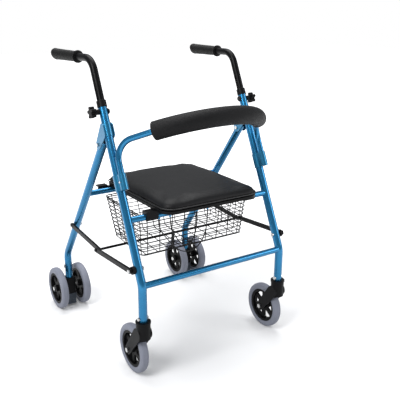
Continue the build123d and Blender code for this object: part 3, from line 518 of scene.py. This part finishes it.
# %% Turn the two grips
def grip_outline(length):
    """Along-and-radius pairs of a ribbed grip, from its hand stop to its closed end."""
    pairs = [(-5.0, 11.2), (-5.0, 17.8), (-4.2, 18.8), (-1.2, 18.8), (0.2, 17.6), (1.6, 15.6), (6, 15.2)]
    ribs = 17
    start, pitch = 12.0, (length - 34.0) / ribs
    for rib in range(ribs):
        at = start + rib * pitch
        swell = 0.9 * math.sin(math.pi * (rib + 0.5) / ribs)
        pairs += [(at, 14.6 + swell), (at + 0.22 * pitch, 15.4 + swell),
                  (at + 0.72 * pitch, 15.4 + swell), (at + 0.94 * pitch, 14.6 + swell)]
    pairs += [(length - 20, 15.3), (length - 7, 15.7), (length - 3, 14.9), (length - 1, 12.6),
              (length - 0.2, 8.5), (length, 0.0)]
    return [(along / 1000, radius / 1000) for along, radius in pairs]


SPLAY = math.radians(3)
HANDLE_Z = 907.0
FLARE_FROM, FLARE_LENGTH = 0.085, 0.073  # the stretch of the grip that widens and leans
FLARE, SLANT = 0.16, 0.5
for side, hand in ((1, "left"), (-1, "right")):
    along_grip = Vector((side * math.sin(SPLAY), math.cos(SPLAY), 0))
    start = mm(side * LEG_X, leg_y(HANDLE_Z), HANDLE_Z) + along_grip * 0.091
    mesh = turned(f"grip_{hand}_rubber", grip_outline(158.0), start, along_grip, steps=48)
    for vert in mesh.vertices:
        along = (vert.co - start).dot(along_grip)
        near_end = min(max((along - FLARE_FROM) / FLARE_LENGTH, 0.0), 1.0)
        outwards = vert.co - start - along_grip * along
        vert.co += outwards * (FLARE * near_end) + along_grip * (SLANT * near_end * outwards.z)
    settle(f"grip_{hand}_rubber", mesh, grip_rubber, f"handle_{hand}", [f"grip_{hand}"])
print("grips 2")

# %% [markdown]
# ## The wire basket
# The real basket is bent from round wire: level hoops with round corners, and ribs that run
# down one wall, under the floor and up the other, welded where they cross. Curves with a round
# bevel make wires better than cylinders, because their corners stay round.

# %% Place a point on the basket's walls
FLOOR_HALF, TOP_HALF = 188.0, 198.0
FLOOR_NEAR_Z, FLOOR_FAR_Z, TOP_Z = 335.0, 347.0, 468.0
FLOOR_NEAR, FLOOR_FAR = 116.0, 300.0
TOP_NEAR, TOP_FAR = 101.0, 342.0
HOOPS, RIBS_ALONG, RIBS_ACROSS = 10, 9, 5
WELD = 2.6


def between(low, high, share):
    return low + (high - low) * share


def basket_corner(side, front, share):
    """A corner of the hoop at this share of the wall's height, in scene metres."""
    half = between(FLOOR_HALF, TOP_HALF, share)
    near = between(FLOOR_NEAR, TOP_NEAR, share)
    far = between(FLOOR_FAR, TOP_FAR, share)
    return mm(side * half, near if front else far,
              between(FLOOR_NEAR_Z if front else FLOOR_FAR_Z, TOP_Z, share))


# %% Weld the basket together
hoops = []
for hoop in range(HOOPS):
    share = hoop / HOOPS
    hoops.append([basket_corner(-1, True, share), basket_corner(1, True, share),
                  basket_corner(1, False, share), basket_corner(-1, False, share)])
rims = [[basket_corner(-1, True, share), basket_corner(1, True, share),
         basket_corner(1, False, share), basket_corner(-1, False, share)] for share in (0.955, 1.0)]
ribs = []
for rib in range(RIBS_ALONG):
    share = (rib + 0.5) / RIBS_ALONG
    low_x, top_x = between(-FLOOR_HALF, FLOOR_HALF, share), between(-TOP_HALF, TOP_HALF, share)
    ribs.append([mm(top_x, TOP_NEAR + WELD, TOP_Z), mm(low_x, FLOOR_NEAR + WELD, FLOOR_NEAR_Z - 5),
                 mm(low_x, FLOOR_FAR - WELD, FLOOR_FAR_Z - 5), mm(top_x, TOP_FAR - WELD, TOP_Z)])
for rib in range(RIBS_ACROSS + 1):
    share = (rib + 0.3) / (RIBS_ACROSS + 0.6)
    low_y, top_y = between(FLOOR_NEAR, FLOOR_FAR, share), between(TOP_NEAR, TOP_FAR, share)
    low_z = between(FLOOR_NEAR_Z, FLOOR_FAR_Z, share) - 2.6
    ribs.append([mm(-TOP_HALF + WELD, top_y, TOP_Z), mm(-FLOOR_HALF + WELD, low_y, low_z),
                 mm(FLOOR_HALF - WELD, low_y, low_z), mm(TOP_HALF - WELD, top_y, TOP_Z)])
hooks = []
for hook_x in (-110, 110):
    for wall_y, bar_y, bar_z in ((103.4, leg_y(471), 471.0), (339.6, 359.3, 478.0)):
        beyond = bar_y + math.copysign(11.4, bar_y - wall_y)
        hooks.append([mm(hook_x, wall_y, 454), mm(hook_x, wall_y, bar_z + 11.4),
                      mm(hook_x, beyond, bar_z + 11.4), mm(hook_x, beyond, bar_z - 8)])
basket_parts = (
    ("basket_hoops", bent_wires("basket_hoops", hoops, 0.0014, 0.014, True),
     ("basket_front", "basket_rear", "basket_left", "basket_right")),
    ("basket_rims", bent_wires("basket_rims", rims, 0.0019, 0.016, True), ()),
    ("basket_ribs", bent_wires("basket_ribs", ribs, 0.0014, 0.008), ("basket_floor",)),
    ("basket_hooks", bent_wires("basket_hooks", hooks, 0.0016, 0.006), ()),
)
for name, mesh, replaced in basket_parts:
    piece = settle(name, mesh, wire_coat, "front_frame", replaced)
    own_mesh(piece)
print("basket wires", len(hoops) + len(rims) + len(ribs) + len(hooks))

# %% [markdown]
# ## The backrest pad
# A thick foam sleeve covers the front of the bent backrest tube. It is a round section swept
# along the bow, and its ends are cut square with a soft edge round the tube.

# %% Sweep the foam round the bow
BOW_RADIUS, BOW_REACH, FOAM_RADIUS = 232.4, 192.4, 27.0
socket_top = mm(0, leg_y(590), 590) + AHEAD * 0.028
bow_middle = socket_top + UP_LEG * 0.087 + AHEAD * ((BOW_REACH - BOW_RADIUS) / 1000)
half_turn = math.radians(50.5)
foam_shape = bmesh.new()
ring = bmesh.ops.create_circle(foam_shape, cap_ends=False, radius=FOAM_RADIUS / 1000, segments=40)
ring_edges = list({edge for vert in ring["verts"] for edge in vert.link_edges})
bmesh.ops.rotate(foam_shape, verts=ring["verts"], cent=(0, 0, 0),
                 matrix=Matrix.Rotation(math.pi / 2, 3, "X"))
bmesh.ops.translate(foam_shape, verts=ring["verts"], vec=(BOW_RADIUS / 1000, 0, 0))
bmesh.ops.rotate(foam_shape, verts=ring["verts"], cent=(0, 0, 0),
                 matrix=Matrix.Rotation(math.pi / 2 - half_turn, 3, "Z"))
swept = bmesh.ops.spin(foam_shape, geom=ring["verts"] + ring_edges, cent=(0, 0, 0), axis=(0, 0, 1),
                       angle=2 * half_turn, steps=84)
for loop in ([edge for edge in foam_shape.edges if edge.is_boundary and edge.verts[0].co.x > 0],
             [edge for edge in foam_shape.edges if edge.is_boundary and edge.verts[0].co.x < 0]):
    rim = loop
    for shrink, push in ((0.985, 0.0008), (0.94, 0.0006), (0.42, -0.0002), (0.36, -0.004)):
        grown = bmesh.ops.extrude_edge_only(foam_shape, edges=rim)["geom"]
        rim_verts = [item for item in grown if isinstance(item, bmesh.types.BMVert)]
        rim = [item for item in grown if isinstance(item, bmesh.types.BMEdge)]
        centre = sum((vert.co for vert in rim_verts), Vector()) / len(rim_verts)
        outwards = Vector((centre.y, -centre.x, 0)).normalized() * (1 if centre.x > 0 else -1)
        current = sum((vert.co - centre).length for vert in rim_verts) / len(rim_verts)
        target = FOAM_RADIUS / 1000 * shrink
        bmesh.ops.scale(foam_shape, vec=(target / current,) * 3, verts=rim_verts,
                        space=Matrix.Translation(-centre))
        bmesh.ops.translate(foam_shape, verts=rim_verts, vec=outwards * push)
place = Matrix.Translation(bow_middle) @ Matrix((
    (1, 0, 0, 0), (0, AHEAD.y, UP_LEG.y, 0), (0, AHEAD.z, UP_LEG.z, 0), (0, 0, 0, 1)))
bmesh.ops.transform(foam_shape, matrix=place, verts=foam_shape.verts)
bmesh.ops.recalc_face_normals(foam_shape, faces=foam_shape.faces)
foam_mesh = bpy.data.meshes.new("backrest_pad")
foam_shape.to_mesh(foam_mesh)
foam_shape.free()
backrest_pad = settle("backrest_pad", foam_mesh, foam, "front_frame",
                      ["backrest_foam"], crease=50)
print("backrest pad", [round(value, 3) for value in backrest_pad.dimensions])

# %% [markdown]
# ## The seat cushion
# A foam pad under black vinyl, crowned in the middle and pulled down at its edges, where the
# cover is fixed to the board. It starts as a block with round corners. Cloth simulation with a
# little pressure then blows the cover up as stuffing does, while the bottom stays flat.

# %% Shape the block of the cushion
SEAT_HALF, SEAT_NEAR, SEAT_FAR = 168.0, 5.0, 402.0
seat_middle = mm(0, (SEAT_NEAR + SEAT_FAR) / 2, 509.5)
cushion_shape = bmesh.new()
bmesh.ops.create_cube(cushion_shape, size=1.0)
bmesh.ops.scale(cushion_shape, vec=(2 * SEAT_HALF / 1000, (SEAT_FAR - SEAT_NEAR) / 1000, 0.021),
                verts=cushion_shape.verts)
upright = [edge for edge in cushion_shape.edges
           if abs(edge.verts[0].co.z - edge.verts[1].co.z) > 0.01]
bmesh.ops.bevel(cushion_shape, geom=upright, offset=0.040, offset_type="OFFSET", affect="EDGES",
                segments=8, profile=0.5, material=-1)
top_loop = [edge for edge in cushion_shape.edges
            if min(vert.co.z for vert in edge.verts) > 0.01 and len(edge.link_faces) == 2]
bmesh.ops.bevel(cushion_shape, geom=top_loop, offset=0.017, offset_type="OFFSET", affect="EDGES",
                segments=6, profile=0.5, material=-1)
bmesh.ops.translate(cushion_shape, verts=cushion_shape.verts, vec=seat_middle)
cushion_mesh = bpy.data.meshes.new("seat_pad")
cushion_shape.to_mesh(cushion_mesh)
cushion_shape.free()
seat_pad = bpy.data.objects.new("seat_pad", cushion_mesh)
bpy.context.collection.objects.link(seat_pad)
print("seat block", [round(value, 3) for value in seat_pad.dimensions])

# %% Remesh it and raise the crown
def apply_modifiers(piece):
    """Replace a piece's mesh with what its modifiers make of it."""
    bpy.context.view_layer.update()
    graph = bpy.context.evaluated_depsgraph_get()
    mesh = bpy.data.meshes.new_from_object(piece.evaluated_get(graph))
    piece.modifiers.clear()
    piece.data = mesh


remesh = seat_pad.modifiers.new("even faces", "REMESH")
remesh.mode = "VOXEL"
remesh.voxel_size = 0.006
apply_modifiers(seat_pad)
CROWN = 0.012
for vert in seat_pad.data.vertices:
    across = (vert.co.x - seat_middle.x) / (SEAT_HALF / 1000)
    deep = (vert.co.y - seat_middle.y) / ((SEAT_FAR - SEAT_NEAR) / 2000)
    above = min(max((vert.co.z - seat_middle.z + 0.006) / 0.016, 0.0), 1.0)
    fall = max(0.0, 1 - abs(across) ** 2.6) * max(0.0, 1 - abs(deep) ** 2.6)
    vert.co.z += CROWN * above * fall ** 0.7
print("cushion vertices", len(seat_pad.data.vertices))

# %% Blow the cover up with cloth
SWELL_LIMIT = 0.0025
held = seat_pad.vertex_groups.new(name="on the board")
low = [vert.index for vert in seat_pad.data.vertices if vert.co.z < seat_middle.z - 0.007]
held.add(low, 1.0, "REPLACE")
before = [vert.co.copy() for vert in seat_pad.data.vertices]
cover = seat_pad.modifiers.new("cover", "CLOTH")
cover.settings.use_pressure = True
cover.settings.uniform_pressure_force = 4
cover.settings.effector_weights.gravity = 0
cover.settings.vertex_group_mass = held.name
cover.settings.tension_stiffness = 20
cover.settings.bending_stiffness = 6
cover.point_cache.frame_start = 1
cover.point_cache.frame_end = 20
for step in range(1, 21):
    bpy.context.scene.frame_set(step)
apply_modifiers(seat_pad)
bpy.context.scene.frame_set(1)
for vert, start in zip(seat_pad.data.vertices, before):
    moved = vert.co - start
    if moved.length > SWELL_LIMIT:
        vert.co = start + moved * (SWELL_LIMIT / moved.length)
seat_pad.vertex_groups.clear()
even_out = seat_pad.modifiers.new("even out", "SMOOTH")
even_out.factor = 0.5
even_out.iterations = 6
smooth = seat_pad.modifiers.new("one subdivision", "SUBSURF")
smooth.levels = smooth.render_levels = 1
apply_modifiers(seat_pad)
for polygon in seat_pad.data.polygons:
    polygon.use_smooth = True
seat_pad.data.materials.clear()
seat_pad.data.materials.append(vinyl)
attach(seat_pad, "seat")
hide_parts("seat_cushion")
print("seat pad top", round(max(vert.co.z for vert in seat_pad.data.vertices), 4))

# %% [markdown]
# The cover's two sheets meet in a line of piping round the side, a little above the board. It
# is one more bent wire, thin and soft, in the same vinyl.

# %% Run the piping round the seat
edge_half, edge_near, edge_far = SEAT_HALF + 0.8, SEAT_NEAR - 0.8, SEAT_FAR + 0.8
piping_route = [mm(-edge_half, edge_near, 504), mm(edge_half, edge_near, 504),
                mm(edge_half, edge_far, 504), mm(-edge_half, edge_far, 504)]
piping_mesh = bent_wires("seat_piping", [piping_route], 0.0019, 0.041, True)
settle("seat_piping", piping_mesh, piping_vinyl, "seat")
print("piping done")
